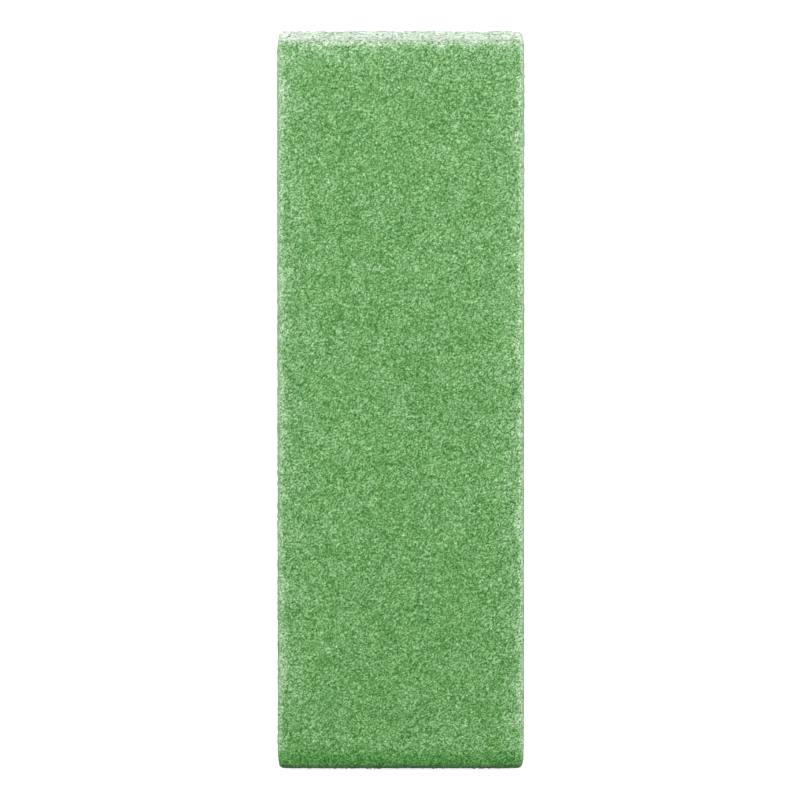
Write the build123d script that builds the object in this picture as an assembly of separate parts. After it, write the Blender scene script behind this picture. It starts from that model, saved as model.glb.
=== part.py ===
from build123d import *
import os

# Sanding stick: a foam block with a facing of coated abrasive glued on each of its six sides.
# Each facing is a stack of three layers, from the outside in: grit coat, paper backing, adhesive
# film. Facings meet each other on 45 degree mitres along the block's edges.
# The stick stands on one small end. +Z runs along its length, the broad front faces -Y, and the
# origin is the centre of the bottom end. Lengths are in millimetres, angles in degrees.

# Outside of the finished stick
WIDTH = 25.4
THICKNESS = 12.7
LENGTH = 75.0
EDGE_RADIUS = 0.8

# Facing layers, from the outside in: name and thickness
LAYERS = {"grit": 0.30, "backing": 0.20, "adhesive": 0.10}

# Cutting blocks that share the shell out between the six sides
MITRE_ANGLE = 45.0
CUTTER_OVERHANG = 1.0
CUTTER_DEPTH = 4.0


def rounded_block(inset):
    """The finished stick shrunk by inset on every side, with its edge rounding kept concentric."""
    block = Pos(0, 0, LENGTH / 2) * Box(WIDTH - 2 * inset, THICKNESS - 2 * inset, LENGTH - 2 * inset)
    return fillet(block.edges(), EDGE_RADIUS - inset)


def side_planes():
    """The outer plane of each side, with its normal outwards, and the width and height of the side."""
    middle = LENGTH / 2
    return {
        "front": (Plane((0, -THICKNESS / 2, middle), x_dir=(1, 0, 0), z_dir=(0, -1, 0)), WIDTH, LENGTH),
        "back": (Plane((0, THICKNESS / 2, middle), x_dir=(-1, 0, 0), z_dir=(0, 1, 0)), WIDTH, LENGTH),
        "left": (Plane((-WIDTH / 2, 0, middle), x_dir=(0, -1, 0), z_dir=(-1, 0, 0)), THICKNESS, LENGTH),
        "right": (Plane((WIDTH / 2, 0, middle), x_dir=(0, 1, 0), z_dir=(1, 0, 0)), THICKNESS, LENGTH),
        "top": (Plane((0, 0, LENGTH), x_dir=(1, 0, 0), z_dir=(0, 0, 1)), WIDTH, THICKNESS),
        "bottom": (Plane((0, 0, 0), x_dir=(1, 0, 0), z_dir=(0, 0, -1)), WIDTH, THICKNESS),
    }


def mitre_cutter(plane, width, height):
    """A blunt pyramid over one side, whose four flanks are the mitre planes along that side's edges."""
    outline = Rectangle(width + 2 * CUTTER_OVERHANG, height + 2 * CUTTER_OVERHANG)
    base = plane.offset(CUTTER_OVERHANG) * outline
    return extrude(base, amount=-(CUTTER_OVERHANG + CUTTER_DEPTH), taper=MITRE_ANGLE)


def build_pieces():
    """Every piece of the stick, by node name."""
    cutters = {side: mitre_cutter(*outline) for side, outline in side_planes().items()}
    pieces = {}
    inset = 0.0
    outside = rounded_block(inset)
    for layer, thickness in LAYERS.items():
        inset += thickness
        inside = rounded_block(inset)
        shell = outside - inside
        for side, cutter in cutters.items():
            pieces[f"{layer}_{side}"] = shell & cutter
        outside = inside
    pieces["foam_core"] = outside
    return pieces


os.makedirs("parts", exist_ok=True)
for node, piece in build_pieces().items():
    export_step(piece, f"parts/{node}.step")
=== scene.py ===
"""Looks of the sanding stick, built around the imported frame. Everything is in metres.

The six grit coats are remade as closed meshes whose outer face is real relief: a lattice of points
0.14 mm apart, each raised or sunk like a grain in resin. The lattice wraps round the block's rounded
edges and its points are shared along the mitres, so neighbouring coats meet without a gap. The foam
core, paper backings and adhesive films keep their CAD shape and get materials of their own.
"""
import math

import bpy
import numpy as np
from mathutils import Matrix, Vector


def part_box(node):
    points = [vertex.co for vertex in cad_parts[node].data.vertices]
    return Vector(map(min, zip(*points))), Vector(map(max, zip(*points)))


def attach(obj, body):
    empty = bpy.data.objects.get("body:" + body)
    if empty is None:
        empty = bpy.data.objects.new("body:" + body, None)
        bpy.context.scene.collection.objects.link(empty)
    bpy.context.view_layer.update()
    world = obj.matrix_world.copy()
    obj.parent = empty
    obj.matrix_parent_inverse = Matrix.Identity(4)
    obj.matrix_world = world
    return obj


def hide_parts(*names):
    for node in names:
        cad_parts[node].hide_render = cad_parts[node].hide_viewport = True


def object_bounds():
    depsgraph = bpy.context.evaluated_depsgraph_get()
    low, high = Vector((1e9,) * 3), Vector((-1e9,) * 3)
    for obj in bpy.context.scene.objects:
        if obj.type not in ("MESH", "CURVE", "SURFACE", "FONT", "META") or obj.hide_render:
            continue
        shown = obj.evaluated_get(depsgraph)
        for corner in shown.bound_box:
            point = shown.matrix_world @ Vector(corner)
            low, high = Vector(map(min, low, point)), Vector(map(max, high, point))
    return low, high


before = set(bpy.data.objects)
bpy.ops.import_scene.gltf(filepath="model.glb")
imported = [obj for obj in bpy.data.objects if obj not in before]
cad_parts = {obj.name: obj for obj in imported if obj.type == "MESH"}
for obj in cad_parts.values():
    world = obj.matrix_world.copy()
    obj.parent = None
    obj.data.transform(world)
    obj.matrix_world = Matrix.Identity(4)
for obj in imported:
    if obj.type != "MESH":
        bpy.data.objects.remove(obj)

CAD_LOW, CAD_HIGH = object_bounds()
CENTRE = (CAD_LOW + CAD_HIGH) / 2
SIZE = np.array(CAD_HIGH - CAD_LOW)

# Read from the frame: how thick the grit coat is, and the radius of the block's edges. A mitred coat
# is narrower than the block by what an eighth of a turn of that radius takes off each side.
GRIT_LOW, GRIT_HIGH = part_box("grit_front")
BACKING_LOW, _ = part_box("backing_front")
COAT = BACKING_LOW.y - GRIT_LOW.y
EDGE_RADIUS = (SIZE[0] - (GRIT_HIGH.x - GRIT_LOW.x)) / 2 / (1 - math.cos(math.pi / 4))

# Which axis each side faces, and the two axes its lattice runs along, as (axis, direction)
SIDES = {
    "front": ((1, -1), (0, 1), (2, 1)),
    "back": ((1, 1), (0, -1), (2, 1)),
    "left": ((0, -1), (1, -1), (2, 1)),
    "right": ((0, 1), (1, 1), (2, 1)),
    "top": ((2, 1), (0, 1), (1, 1)),
    "bottom": ((2, -1), (0, 1), (1, -1)),
}

# The lattice's spacing, and how far a point strays along each axis, at most, as a share of it
STEP = 0.0001395
JITTER = 0.32

# Each lattice point's grain has a tone, from TONE_LOW up over TONE_SPAN. Soft clumps of several sizes,
# as (size, weight), are laid over it, and the grains ranked over TIP_FROM have a paler tip.
TONE_LOW, TONE_SPAN = 0.15, 0.62
CLUMPS = ((0.00034, 0.12), (0.0009, 0.10), (0.0026, 0.10))
TIP_FROM, TIP_RISE = 0.93, 0.22

# The relief is GRAIN_DEPTH from its highest to its lowest. The grains ranked over TALL_FROM reach into
# the uppermost TALL_RISE of it, and the rest stay below. Near an edge the foam is pinched in by up to
# PINCH, which fades over PINCH_REACH. GRAIN_DEPTH and PINCH together are less than the coat.
GRAIN_DEPTH = 0.00019
TALL_FROM = 0.95
TALL_RISE = 0.50
PINCH = 0.00010
PINCH_REACH = 0.0006

# The pale edge is 0 on fresh grit and 1 on an edge: partly worn-bare grit and partly a painted highlight
# where the rounding faces the side lamps. It comes on a little before the rounding, within a short reach,
# and a share of it trails off over the flats, painted highlight too. Its start and the trail are uneven.
PALE_EDGE_START = 0.00015
PALE_EDGE_REACH = 0.00045
TRAIL_SHARE = 0.3
TRAIL_REACH = 0.0013
UNEVEN_SIZE = 0.0013
UNEVEN_START = 0.00025

# A painted reflection adds to this, as of a bright backdrop seen low across the top end: all over the top
# end, fading a short way below it, more along the top's edges as a painted highlight, and not on tall
# grains, which stand darker there as painted shade between the tips. A little painted light lies on all
# sides, more of it higher up, where the light from above falls stronger.
TOP_REFLECTION = 0.7
TOP_REFLECTION_REACH = 0.0007
TOP_REFLECTION_UNEVEN = 0.4
TOP_REFLECTION_ON_EDGES = 0.9
TOP_REFLECTION_OFF_TALL = 4.0
TALL_FADE = 0.2
UPPER_PAINTED_LIGHT = 0.09

# Painted shade takes the value below 0 and deepens the resin's green: over a band along the foot, and
# again along the very rim by the floor, each as the height of the band and the drop. On the bottom end the
# bands run in from its edges.
FOOT_BAND, FOOT_SHADE = 0.0030, 1.9
RIM_BAND, RIM_SHADE = 0.0006, 1.3

# The hidden inner face keeps the lattice lines up to INNER_RIM cells from each end of a side, and one
# in INNER_SKIP between them. All its points have one tone.
INNER_RIM = 5
INNER_SKIP = 8
INNER_TONE = 0.3

# Where a coat's faces lie across its texture: outer from 0, then inner, then rim
OUTER_WIDTH = 0.96
INNER_START, INNER_WIDTH = 0.975, 0.012
RIM_PLACE = 0.995

# The integer hash: a factor for each lattice index and for the channel, a start, rounds of mixing as
# (shift, factor), a last shift, and the largest number of its 32 bits
HASH_AXES = (0x9E3779B1, 0x85EBCA77, 0xC2B2AE3D)
HASH_CHANNEL = 0x27D4EB2F
HASH_START = 0x165667B1
HASH_ROUNDS = ((15, 0x2C1B3C6D), (12, 0x297A2D39), (15, 0x2C1B3C6D))
HASH_LAST_SHIFT = 16
LARGEST = 0xFFFFFFFF
# Noise counts its cells from so many below the origin, because the hash takes no negative index.
NOISE_ORIGIN = 1000.0

# The channel that each thing draws from. Jitter takes three in a row, and clumps one for each size.
TONE_DRAW, RANK_DRAW, JITTER_DRAW, TIP_DRAW, CLUMP_DRAW, UNEVEN_DRAW = 1, 2, 3, 6, 10, 20

# How pale a spot of grit is, from 0 to 1: so much by its lattice point, by its chip, and in any case
POINT_SHARE, CHIP_SHARE, LEAST_SHARE = 0.43, 0.40, 0.06
# Over this range it moves by so much besides: darker in the painted shade along the foot, paler on worn
# edges and where highlight, reflection and light from above are painted on.
LIGHT_AND_WEAR_RANGE, LIGHT_AND_WEAR_SHIFT = (-4.0, 0.8), (-0.36, 0.072)
CHIP_SIZE = 0.00011

# Camera: lens and sensor in millimetres, how wide it sees at the block, its height above level in
# degrees, and how far off the block's centre it aims
LENS, SENSOR = 800.0, 36.0
VIEW_WIDTH = 0.08172
VIEW_ELEVATION = 5.85
AIM_OFFSET = (-0.00008, 0.0, -0.00007)

# Sky: the dome's radiance, then each glow's direction, inner and outer half angle in degrees, and
# radiance at its middle
DOME = 0.25
GLOWS = (
    ((0.0, 0.0, 1.0), 30, 55, 0.3),
    ((0.0, 1.0, 0.12), 6, 24, 11.0),
)

# Lamps near the block: name, place, size, and radiance
LAMPS = (
    ("left_box", (-0.38, -0.18, 0.11), 0.24, 11.2),
    ("right_box", (0.38, -0.18, 0.11), 0.24, 12.1),
    ("front_box", (0.0, -0.25, 0.17), 0.12, 6.7),
)

# Sheets under the block: how far each reaches past it, how pale each is, and the step down to each.
# The floor and the wall around it shine a little.
FLOOR_REACH, FLOOR_SHADE, FLOOR_GLOW = 12.0, 0.93, 0.85
PAD_REACH, PAD_SHADE = 0.0015, 0.3
CARD_REACH, CARD_SHADE = 12.0, 0.02
SHEET_STEP = 0.00001
SHADE_SPREAD = 0.01
WALL_RADIUS, WALL_HEIGHT, WALL_SIDES = 2.0, 0.3, 96


# ---------------------------------------------------------------- seeded noise

def hashed(i, j, k, channel):
    """A number from 0 to 1 for each lattice point, the same on every run."""
    n = np.uint64(channel * HASH_CHANNEL + HASH_START)
    for index, factor in zip((i, j, k), HASH_AXES):
        n = n + index.astype(np.uint64) * np.uint64(factor)
    n &= np.uint64(LARGEST)
    for shift, factor in HASH_ROUNDS:
        n ^= n >> np.uint64(shift)
        n = (n * np.uint64(factor)) & np.uint64(LARGEST)
    n ^= n >> np.uint64(HASH_LAST_SHIFT)
    return n.astype(np.float64) / LARGEST


def eased(x):
    """Rises from 0 to 1 along an S curve while x goes from 0 to 1."""
    x = np.clip(x, 0, 1)
    return x * x * (3 - 2 * x)


def smooth_noise(points, cell, channel):
    """Value noise from -1 to 1 that varies over one cell, at each point."""
    scaled = points / cell + NOISE_ORIGIN
    corner = np.floor(scaled).astype(np.int64)
    f = eased(scaled - corner)
    total = np.zeros(len(points))
    for dx in (0, 1):
        for dy in (0, 1):
            for dz in (0, 1):
                weight = (np.abs(1 - dx - f[:, 0]) * np.abs(1 - dy - f[:, 1]) * np.abs(1 - dz - f[:, 2]))
                total += weight * hashed(corner[:, 0] + dx, corner[:, 1] + dy, corner[:, 2] + dz, channel)
    return total * 2 - 1


# ---------------------------------------------------------------- lattice

def cells_along(axis):
    """How many lattice cells run across the block along an axis, mitre to mitre."""
    arc = SIZE[axis] - 2 * EDGE_RADIUS + EDGE_RADIUS * math.pi / 2
    return int(round(arc / STEP))


def lattice_lines(axis, direction):
    """Every lattice line along an axis, in the direction the side counts them."""
    lines = np.arange(cells_along(axis) + 1)
    return lines if direction > 0 else lines[::-1]


def kept_lines(count):
    """The few lines out of count + 1 that the hidden inner face keeps."""
    middle = list(range(INNER_RIM, count - INNER_RIM, INNER_SKIP))
    return np.array(list(range(INNER_RIM)) + middle + list(range(count - INNER_RIM, count + 1)))


def unrolled(axis, index):
    """Each lattice line's place on the inner block, how far its normal leans over the edge, and how far
    it lies past the start of the rounding (negative on the flat)."""
    flat = SIZE[axis] / 2 - EDGE_RADIUS
    reach = flat + EDGE_RADIUS * math.pi / 4
    s = (index / cells_along(axis) * 2 - 1) * reach
    past = np.abs(s) - flat
    lean = np.clip(past / EDGE_RADIUS, 0, math.pi / 4)
    return np.clip(s, -flat, flat), np.sign(s) * np.tan(lean), past


def side_points(side, first, second):
    """For the crossings of two sets of lines: centres of rounding, outward normals, lattice indices, and
    how far each crossing lies past the start of the nearest rounding."""
    (facing, sign), (axis_b, _), (axis_c, _) = SIDES[side]
    b, c = np.meshgrid(first, second, indexing="ij")
    b, c = b.ravel(), c.ravel()
    centre, normal, index = np.zeros((len(b), 3)), np.zeros((len(b), 3)), np.zeros((len(b), 3), np.int64)
    centre[:, facing] = sign * (SIZE[facing] / 2 - EDGE_RADIUS)
    normal[:, facing] = sign
    index[:, facing] = 0 if sign < 0 else cells_along(facing)
    past = np.full(len(b), -np.inf)
    for axis, lines in ((axis_b, b), (axis_c, c)):
        centre[:, axis], normal[:, axis], past_line = unrolled(axis, lines)
        index[:, axis] = lines
        past = np.maximum(past, past_line)
    centre += np.array(CENTRE)
    normal /= np.linalg.norm(normal, axis=1, keepdims=True)
    return centre, normal, index, past


# ---------------------------------------------------------------- grit coats

def grains(points, index):
    """For each lattice point: how pale its grain is, and how high it stands in the relief, both 0 to 1."""
    i, j, k = index.T
    tone = TONE_LOW + TONE_SPAN * hashed(i, j, k, TONE_DRAW)
    for number, (size, weight) in enumerate(CLUMPS):
        tone += weight / 2 * smooth_noise(points, size, CLUMP_DRAW + number)
    tall = np.clip((hashed(i, j, k, RANK_DRAW) - TALL_FROM) / (1 - TALL_FROM), 0, 1)
    height = (1 - TALL_RISE) * np.clip(tone, 0, 1) + TALL_RISE * np.sqrt(tall)
    tip = hashed(i, j, k, TIP_DRAW) > TIP_FROM
    return np.clip(tone + TIP_RISE * tip, 0, 1), height


def relief(centre, normal, index, past, height):
    """The outer face's points: strayed along the surface, then sunk towards their centre of rounding."""
    i, j, k = index.T
    jitter = np.stack([hashed(i, j, k, JITTER_DRAW + n) * 2 - 1 for n in range(3)], axis=1) * STEP * JITTER
    jitter -= normal * (jitter * normal).sum(axis=1, keepdims=True)
    sunk = (1 - height) * GRAIN_DEPTH + PINCH * np.exp(np.minimum(past, 0) / PINCH_REACH)
    return centre + (normal * EDGE_RADIUS + jitter) * (1 - sunk / EDGE_RADIUS)[:, None]


def paint_wear_and_light(side, skin, past, height):
    """Wear, painted highlight and painted reflection on each outer point; below 0, painted shade."""
    uneven = smooth_noise(skin, UNEVEN_SIZE, UNEVEN_DRAW)
    # Pale edge: partly worn-bare grit, partly a painted highlight on the rounding, trail included
    edge = eased((past + PALE_EDGE_START + UNEVEN_START * uneven) / PALE_EDGE_REACH)
    trail = np.exp(np.minimum(past, 0) / TRAIL_REACH) * (1 + uneven)
    wear_and_painted_light = (1 - TRAIL_SHARE) * edge + TRAIL_SHARE * trail

    # Painted reflection on the top end, painted highlight on its edges, painted shade on its tall grains
    up = (skin[:, 2] - CAD_LOW.z) / SIZE[2]
    tall = np.clip((height - (1 - TALL_RISE)) / TALL_FADE, 0, 1)
    top_reflection = np.exp((up - 1) * SIZE[2] / TOP_REFLECTION_REACH) * (1 + TOP_REFLECTION_UNEVEN * uneven) * (1 - TOP_REFLECTION_OFF_TALL * tall)

    # Painted shade along the foot and along the very rim
    rise = np.maximum(-past, 0) if side == "bottom" else skin[:, 2] - CAD_LOW.z
    clear = eased(rise / FOOT_BAND)
    resin_and_painted_shade = FOOT_SHADE * (1 - clear) + RIM_SHADE * np.clip(1 - rise / RIM_BAND, 0, 1)
    # Painted light from above: every side grows paler towards the top
    return wear_and_painted_light * clear * (1 + TOP_REFLECTION_ON_EDGES * top_reflection) - resin_and_painted_shade + TOP_REFLECTION * top_reflection + UPPER_PAINTED_LIGHT * eased(up)


def squares(grid, outward):
    """The squares of a grid of point numbers, wound to face outward or inward."""
    corners = (grid[:-1, :-1], grid[1:, :-1], grid[1:, 1:], grid[:-1, 1:])
    order = (0, 1, 2, 3) if outward else (0, 3, 2, 1)
    return np.stack([corners[n] for n in order], axis=-1).reshape(-1, 4)


def rim_triangles(near, far, kept):
    """Triangles from an outer border, near, to the coarser inner one, far: far[n] lies by near[kept[n]]."""
    triangles = []
    for n in range(len(kept) - 1):
        start, end = kept[n], kept[n + 1]
        middle = (start + end) // 2
        triangles += [(near[m], far[n], near[m + 1]) for m in range(start, middle)]
        triangles.append((near[middle], far[n], far[n + 1]))
        triangles += [(near[m], far[n + 1], near[m + 1]) for m in range(middle, end)]
    return triangles


def smooth_mesh(name, points, quads, triangles):
    """A smooth-shaded mesh of four-sided faces, then three-sided ones."""
    loops = np.concatenate([quads.ravel(), triangles.ravel()])
    sizes = np.concatenate([np.full(len(quads), 4), np.full(len(triangles), 3)])
    mesh = bpy.data.meshes.new(name)
    mesh.vertices.add(len(points))
    mesh.vertices.foreach_set("co", points.astype(np.float32).ravel())
    mesh.loops.add(len(loops))
    mesh.loops.foreach_set("vertex_index", loops.astype(np.int32))
    mesh.polygons.add(len(sizes))
    mesh.polygons.foreach_set("loop_start", np.concatenate([[0], np.cumsum(sizes)[:-1]]).astype(np.int32))
    mesh.update(calc_edges=True)
    mesh.polygons.foreach_set("use_smooth", np.ones(len(sizes), bool))
    return mesh


def lay_texture(mesh, outside, inside, outer_shape, inner_shape):
    """Lays the outer face over most of the texture, and the hidden faces on a narrow strip beside it."""
    (nb, nc), (mb, mc) = outer_shape, inner_shape
    outer, inner = outside.ravel(), inside.ravel() - nb * nc
    rim = len(mesh.loops) - len(outer) - len(inner)
    across = np.concatenate([
        outer // nc / (nb - 1) * OUTER_WIDTH,
        INNER_START + INNER_WIDTH * (inner // mc) / (mb - 1),
        np.full(rim, RIM_PLACE),
    ])
    along = np.concatenate([outer % nc / (nc - 1), inner % mc / (mc - 1), np.linspace(0, 1, rim)])
    layer = mesh.uv_layers.new(name="OFBake")
    layer.data.foreach_set("uv", np.stack([across, along], axis=1).astype(np.float32).ravel())


def sharpen_arris(mesh, borders):
    """Makes the arris between outer face and rim sharp, so that the rim doesn't tilt its normals."""
    on_border = np.zeros(len(mesh.vertices), bool)
    for near, _, _ in borders:
        on_border[near] = True
    ends = np.empty(len(mesh.edges) * 2, np.int32)
    mesh.edges.foreach_get("vertices", ends)
    mesh.edges.foreach_set("use_edge_sharp", on_border[ends.reshape(-1, 2)].all(axis=1))


def add_values(mesh, name, outer, hidden):
    """Stores a number for each point: the outer face's own, and one that all hidden points share."""
    rest = np.full(len(mesh.vertices) - len(outer), hidden)
    attribute = mesh.attributes.new(name, "FLOAT", "POINT")
    attribute.data.foreach_set("value", np.concatenate([outer, rest]).astype(np.float32))


def grit_coat(side):
    """One facing's coat of grit, as a closed mesh: relief outside, mitred rim, plain face inside."""
    _, (axis_b, direction_b), (axis_c, direction_c) = SIDES[side]
    lines_b, lines_c = lattice_lines(axis_b, direction_b), lattice_lines(axis_c, direction_c)
    nb, nc = len(lines_b), len(lines_c)
    centre, normal, index, past = side_points(side, lines_b, lines_c)
    skin = centre + normal * EDGE_RADIUS
    tone, height = grains(skin, index)
    outer = relief(centre, normal, index, past, height)

    keep_b, keep_c = kept_lines(nb - 1), kept_lines(nc - 1)
    mb, mc = len(keep_b), len(keep_c)
    centre, normal, _, _ = side_points(side, lines_b[keep_b], lines_c[keep_c])
    inner = centre + normal * (EDGE_RADIUS - COAT)

    grid = np.arange(nb * nc).reshape(nb, nc)
    back = nb * nc + np.arange(mb * mc).reshape(mb, mc)
    outside, inside = squares(grid, outward=True), squares(back, outward=False)
    borders = (
        (grid[:, 0], back[:, 0], keep_b),
        (grid[-1, :], back[-1, :], keep_c),
        (grid[::-1, -1], back[::-1, -1], nb - 1 - keep_b[::-1]),
        (grid[0, ::-1], back[0, ::-1], nc - 1 - keep_c[::-1]),
    )
    rim = np.array([triangle for border in borders for triangle in rim_triangles(*border)])

    name = f"grit_relief_{side}"
    mesh = smooth_mesh(name, np.concatenate([outer, inner]), np.concatenate([outside, inside]), rim)
    lay_texture(mesh, outside, inside, (nb, nc), (mb, mc))
    sharpen_arris(mesh, borders)
    add_values(mesh, "proud", tone, INNER_TONE)
    add_values(mesh, "wear_and_painted_light", paint_wear_and_light(side, skin, past, height), 0.0)
    mesh.validate()
    return in_scene(name, mesh)


# ---------------------------------------------------------------- materials

class Nodes:
    """A short way to write nodes into a tree."""

    def __init__(self, tree):
        self.tree = tree

    def add(self, kind, inputs=None, **settings):
        node = self.tree.nodes.new(kind)
        for key, value in settings.items():
            setattr(node, key, value)
        for key, value in (inputs or {}).items():
            self.set(node, key, value)
        return node

    def set(self, node, key, value):
        if isinstance(value, bpy.types.NodeSocket):
            self.tree.links.new(value, node.inputs[key])
        else:
            node.inputs[key].default_value = value

    def math(self, operation, a, b, clamp=False):
        node = self.add("ShaderNodeMath", {0: a, 1: b}, operation=operation, use_clamp=clamp)
        return node.outputs["Value"]

    def vector(self, operation, a, b=(0, 0, 0)):
        node = self.add("ShaderNodeVectorMath", {0: a, 1: b}, operation=operation)
        return node.outputs["Value" if operation == "DOT_PRODUCT" else "Vector"]

    def remap(self, value, low, high, to_low, to_high, **settings):
        """Takes low to to_low and high to to_high, and goes no further outside them."""
        inputs = {0: value, 1: low, 2: high, 3: to_low, 4: to_high}
        return self.add("ShaderNodeMapRange", inputs, **settings).outputs["Result"]


class Finish(Nodes):
    """A new material, and what goes into its shader."""

    def __init__(self, name):
        self.material = bpy.data.materials.new(name)
        self.material.use_nodes = True
        super().__init__(self.material.node_tree)
        self.shader = self.tree.nodes["Principled BSDF"]
        self.place = self.add("ShaderNodeTexCoord").outputs["Object"]

    def shade(self, **values):
        for key, value in values.items():
            self.set(self.shader, key.replace("_", " "), value)

    def noise(self, size, detail=2.0, roughness=0.5, distortion=0.0):
        """Soft noise whose features are size metres across, from 0 to 1."""
        inputs = {"Vector": self.place, "Scale": 1 / size, "Detail": detail, "Roughness": roughness,
                  "Distortion": distortion}
        return self.add("ShaderNodeTexNoise", inputs).outputs["Fac"]

    def cells(self, size):
        """Voronoi cells size metres across."""
        return self.add("ShaderNodeTexVoronoi", {"Vector": self.place, "Scale": 1 / size}).outputs

    def attribute(self, name):
        return self.add("ShaderNodeAttribute", attribute_name=name).outputs["Fac"]

    def ramp(self, value, *stops):
        """A colour ramp with (position, colour) stops."""
        node = self.add("ShaderNodeValToRGB", {"Fac": value})
        elements = node.color_ramp.elements
        while len(elements) < len(stops):
            elements.new(0.5)
        for element, (position, colour) in zip(elements, stops):
            element.position = position
            element.color = (*colour, 1)
        return node.outputs["Color"]

    def mix(self, factor, a, b):
        """A colour part of the way from a to b."""
        return self.add("ShaderNodeMix", {0: factor, 6: a, 7: b}, data_type="RGBA").outputs[2]

    def facets(self, cell_colour, flatness, tilt):
        """Gives each cell a facet of its own, tilted a random way off the surface. Flatness is how far
        the surface goes from its smooth shading to the mesh's own flat faces."""
        surface = self.add("ShaderNodeNewGeometry").outputs
        inputs = {0: flatness, 4: surface["Normal"], 5: surface["True Normal"]}
        ground = self.add("ShaderNodeMix", inputs, data_type="VECTOR").outputs[1]
        lean = self.vector("SUBTRACT", cell_colour, (0.5, 0.5, 0.5))
        lean = self.vector("MULTIPLY", lean, (tilt, tilt, tilt))
        self.shade(Normal=self.vector("NORMALIZE", self.vector("ADD", ground, lean)))

    def bump(self, height, distance, strength):
        inputs = {"Height": height, "Distance": distance, "Strength": strength}
        self.shade(Normal=self.add("ShaderNodeBump", inputs).outputs["Normal"])


def grit_material():
    """Abrasive grains in green resin: deep green in the pits, pale where the tips stand bare."""
    n = Finish("grit_coat")
    wear_and_painted_light = n.attribute("wear_and_painted_light")
    chips = n.cells(CHIP_SIZE)["Color"]
    chance = n.add("ShaderNodeSeparateColor", {"Color": chips}).outputs

    by_point = n.math("MULTIPLY", n.attribute("proud"), POINT_SHARE)
    by_chip = n.math("MULTIPLY", chance["Red"], CHIP_SHARE)
    # Painted shade and painted highlight shift the tone here, along with the real wear
    by_wear_and_light = n.remap(wear_and_painted_light, *LIGHT_AND_WEAR_RANGE, *LIGHT_AND_WEAR_SHIFT)
    level = n.math("ADD", n.math("ADD", by_point, by_chip), LEAST_SHARE)
    level = n.math("ADD", level, by_wear_and_light, clamp=True)
    resin_and_painted_shade = n.ramp(
        level,
        (0.15, (0.004, 0.080, 0.002)),
        (0.35, (0.038, 0.178, 0.020)),
        (0.55, (0.120, 0.310, 0.086)),
        (0.72, (0.255, 0.480, 0.205)),
        (0.90, (0.540, 0.740, 0.490)),
    )

    # Bare mineral and dust show in soft blotches, and pale grit shows where it is worn and where a
    # highlight, a reflection and light from above are painted on, but only on the paler spots.
    blotches = n.remap(n.noise(0.0014), 0.35, 0.65, 0.0, 0.08)
    blotches = n.math("MULTIPLY", blotches, n.remap(wear_and_painted_light, -1.0, 0.0, 0.0, 1.0))
    bare_and_painted_light = n.math("ADD", blotches, n.remap(wear_and_painted_light, 0.0, 2.8, 0.0, 0.84))
    bare_and_painted_light = n.math("MULTIPLY", bare_and_painted_light, n.remap(level, 0.35, 0.75, 0.0, 1.0))
    n.shade(Base_Color=n.mix(bare_and_painted_light, resin_and_painted_shade, (0.78, 0.82, 0.75, 1)))

    n.shade(Roughness=n.remap(chance["Green"], 0.0, 1.0, 0.25, 0.70))
    n.facets(chips, flatness=0.6, tilt=0.4)
    n.shade(IOR=1.5, Specular_IOR_Level=0.35, Sheen_Weight=0.3, Sheen_Roughness=0.5)
    return n.material


def paper_material():
    """Tan backing paper with pulp fibres."""
    n = Finish("paper_backing")
    fibre = n.noise(0.0005, detail=6.0, roughness=0.7, distortion=1.5)
    n.shade(Base_Color=n.ramp(
        n.math("ADD", n.math("MULTIPLY", fibre, 0.7), n.math("MULTIPLY", n.noise(0.004), 0.3)),
        (0.3, (0.36, 0.27, 0.17)),
        (0.5, (0.52, 0.42, 0.29)),
        (0.7, (0.66, 0.56, 0.41)),
    ))
    n.shade(Roughness=n.remap(fibre, 0.3, 0.7, 0.75, 0.95))
    n.bump(fibre, 0.00002, 0.6)
    return n.material


def adhesive_material():
    """Cream transfer adhesive, mottled where it wets out."""
    n = Finish("adhesive_film")
    blot = n.noise(0.0011, detail=4.0, roughness=0.55, distortion=0.6)
    n.shade(Base_Color=n.ramp(
        blot,
        (0.35, (0.62, 0.55, 0.38)),
        (0.60, (0.76, 0.70, 0.54)),
        (0.75, (0.84, 0.80, 0.68)),
    ))
    n.shade(Roughness=n.remap(blot, 0.3, 0.7, 0.25, 0.5))
    n.bump(blot, 0.00001, 0.4)
    return n.material


def foam_material():
    """Pale foam with a skin of small cells."""
    n = Finish("foam_core")
    large, small = n.cells(0.0006)["Distance"], n.cells(0.00025)["Distance"]
    # The cells' pits are painted darker than their rims: painted shade in the cells
    depth = n.math("ADD", large, n.math("MULTIPLY", small, 0.5))
    n.shade(Base_Color=n.ramp(
        depth,
        (0.20, (0.62, 0.64, 0.62)),
        (0.55, (0.78, 0.79, 0.78)),
        (0.90, (0.88, 0.89, 0.88)),
    ))
    n.shade(Roughness=n.remap(n.noise(0.002), 0.3, 0.7, 0.7, 0.9))
    n.bump(depth, 0.00006, 0.7)
    return n.material


def studio_paper(name, shade, glow=0.0):
    """Matt studio paper of one shade, very slightly uneven, that may shine a little."""
    n = Finish(name)
    dark, light = (shade - SHADE_SPREAD,) * 3, (shade + SHADE_SPREAD,) * 3
    n.shade(Base_Color=n.ramp(n.noise(0.25, detail=3.0), (0.3, dark), (0.7, light)))
    n.shade(Roughness=0.9, Emission_Color=(1, 1, 1, 1), Emission_Strength=glow)
    return n.material


# ---------------------------------------------------------------- camera, light and floor

def in_scene(name, data):
    """A new object, linked into the scene."""
    made = bpy.data.objects.new(name, data)
    bpy.context.scene.collection.objects.link(made)
    return made


def aim(obj, place, target):
    """Puts an object in place and turns it to look at the target."""
    obj.location = place
    obj.rotation_euler = (Vector(target) - Vector(place)).to_track_quat("-Z", "Y").to_euler()


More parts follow.
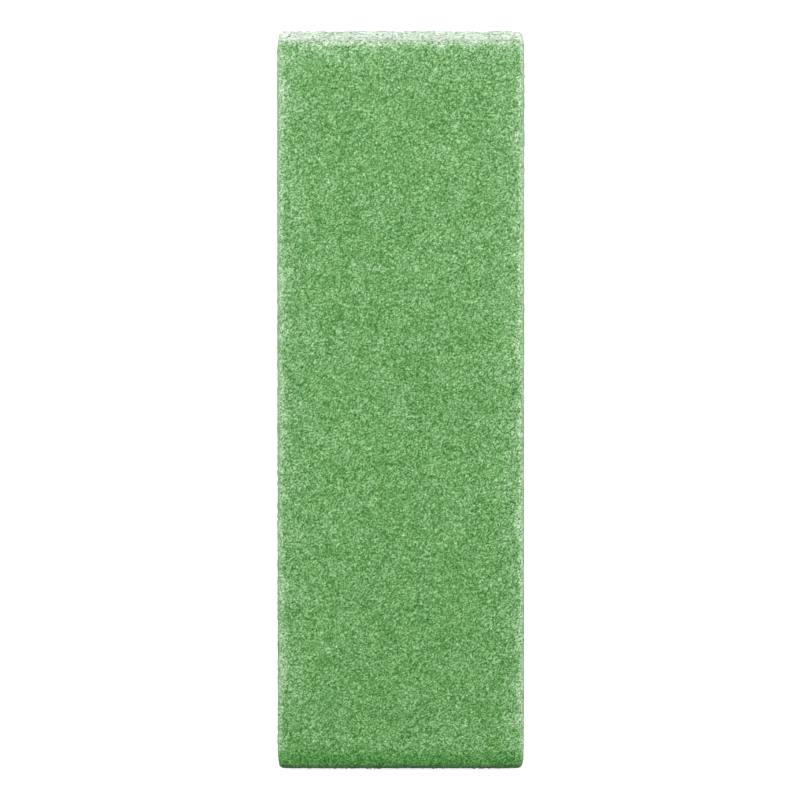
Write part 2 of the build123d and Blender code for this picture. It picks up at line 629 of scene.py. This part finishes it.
def make_camera():
    """A long lens a little above the block, so that the top end shows as a thin band."""
    data = bpy.data.cameras.new("camera")
    data.lens, data.sensor_width, data.sensor_fit = LENS, SENSOR, "HORIZONTAL"
    data.clip_start, data.clip_end = 0.01, 100.0
    distance, elevation = VIEW_WIDTH * LENS / SENSOR, math.radians(VIEW_ELEVATION)
    target = CENTRE + Vector(AIM_OFFSET)
    camera = in_scene("camera", data)
    aim(camera, target + Vector((0, -math.cos(elevation), math.sin(elevation))) * distance, target)
    bpy.context.scene.camera = camera


def make_sky():
    """A dim even dome with two wide soft glows in it: one above the block, one low down behind it."""
    world = bpy.data.worlds.new("studio")
    world.use_nodes = True
    n = Nodes(world.node_tree)
    direction = n.add("ShaderNodeTexCoord").outputs["Generated"]
    total = DOME
    for towards, inner, outer, radiance in GLOWS:
        facing = n.vector("DOT_PRODUCT", direction, Vector(towards).normalized())
        rim, core = math.cos(math.radians(outer)), math.cos(math.radians(inner))
        glow = n.remap(facing, rim, core, 0.0, radiance, interpolation_type="SMOOTHSTEP")
        total = n.math("ADD", glow, total)
    background = n.tree.nodes["Background"]
    n.set(background, "Color", (1, 1, 1, 1))
    n.set(background, "Strength", total)
    bpy.context.scene.world = world


def make_lamp(name, place, size, radiance):
    """A soft square lamp that shines at the block."""
    data = bpy.data.lights.new(name, "AREA")
    data.shape, data.size, data.energy = "SQUARE", size, radiance * math.pi * size * size
    aim(in_scene(name, data), place, CENTRE)


def stage_piece(name, points, faces, material):
    """A piece of the set, which is no part of the stick."""
    mesh = bpy.data.meshes.new(name)
    mesh.from_pydata(points, [], faces)
    mesh.materials.append(material)
    piece = in_scene(name, mesh)
    return piece


def make_sheet(name, material, reach, layer):
    """A level sheet that reaches past the block's foot all round. Layer 1 is the uppermost."""
    x, y, z = SIZE[0] / 2 + reach, SIZE[1] / 2 + reach, CAD_LOW.z - layer * SHEET_STEP
    return stage_piece(name, [(-x, -y, z), (x, -y, z), (x, y, z), (-x, y, z)], [(0, 1, 2, 3)], material)


def make_wall(name, material):
    """A low wall all round, so that a level view ends in paper and not in the sky."""
    turns = [2 * math.pi * n / WALL_SIDES for n in range(WALL_SIDES)]
    circle = [(WALL_RADIUS * math.cos(turn), WALL_RADIUS * math.sin(turn)) for turn in turns]
    points = [(x, y, z) for z in (CAD_LOW.z, CAD_LOW.z + WALL_HEIGHT) for x, y in circle]
    pairs = [(n, (n + 1) % WALL_SIDES) for n in range(WALL_SIDES)]
    return stage_piece(name, points, [(a, b, b + WALL_SIDES, a + WALL_SIDES) for a, b in pairs], material)


def make_studio():
    """Sky and lamps, a white floor and wall that only the camera sees, and below them what it doesn't: a
    pale pad and a dark card, which set how much light comes back up."""
    make_sky()
    for lamp in LAMPS:
        make_lamp(*lamp)
    white = studio_paper("floor", FLOOR_SHADE, FLOOR_GLOW)
    for paper in (make_sheet("floor", white, FLOOR_REACH, 1), make_wall("backdrop", white)):
        paper.visible_diffuse = paper.visible_glossy = paper.visible_shadow = False
    pad = make_sheet("pale_pad", studio_paper("pale_pad", PAD_SHADE), PAD_REACH, 2)
    card = make_sheet("grey_card", studio_paper("grey_card", CARD_SHADE), CARD_REACH, 3)
    pad.visible_camera = card.visible_camera = False
    bpy.context.scene.view_settings.view_transform = "Standard"


# ---------------------------------------------------------------- assembly

make_camera()
make_studio()

grit = grit_material()
for side in SIDES:
    coat = grit_coat(side)
    coat.data.materials.append(grit)
    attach(coat, "root")
    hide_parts(f"grit_{side}")

finishes = {"foam_core": foam_material(), "backing": paper_material(), "adhesive": adhesive_material()}
for name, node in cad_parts.items():
    for start, finish in finishes.items():
        if name.startswith(start):
            node.data.materials.clear()
            node.data.materials.append(finish)
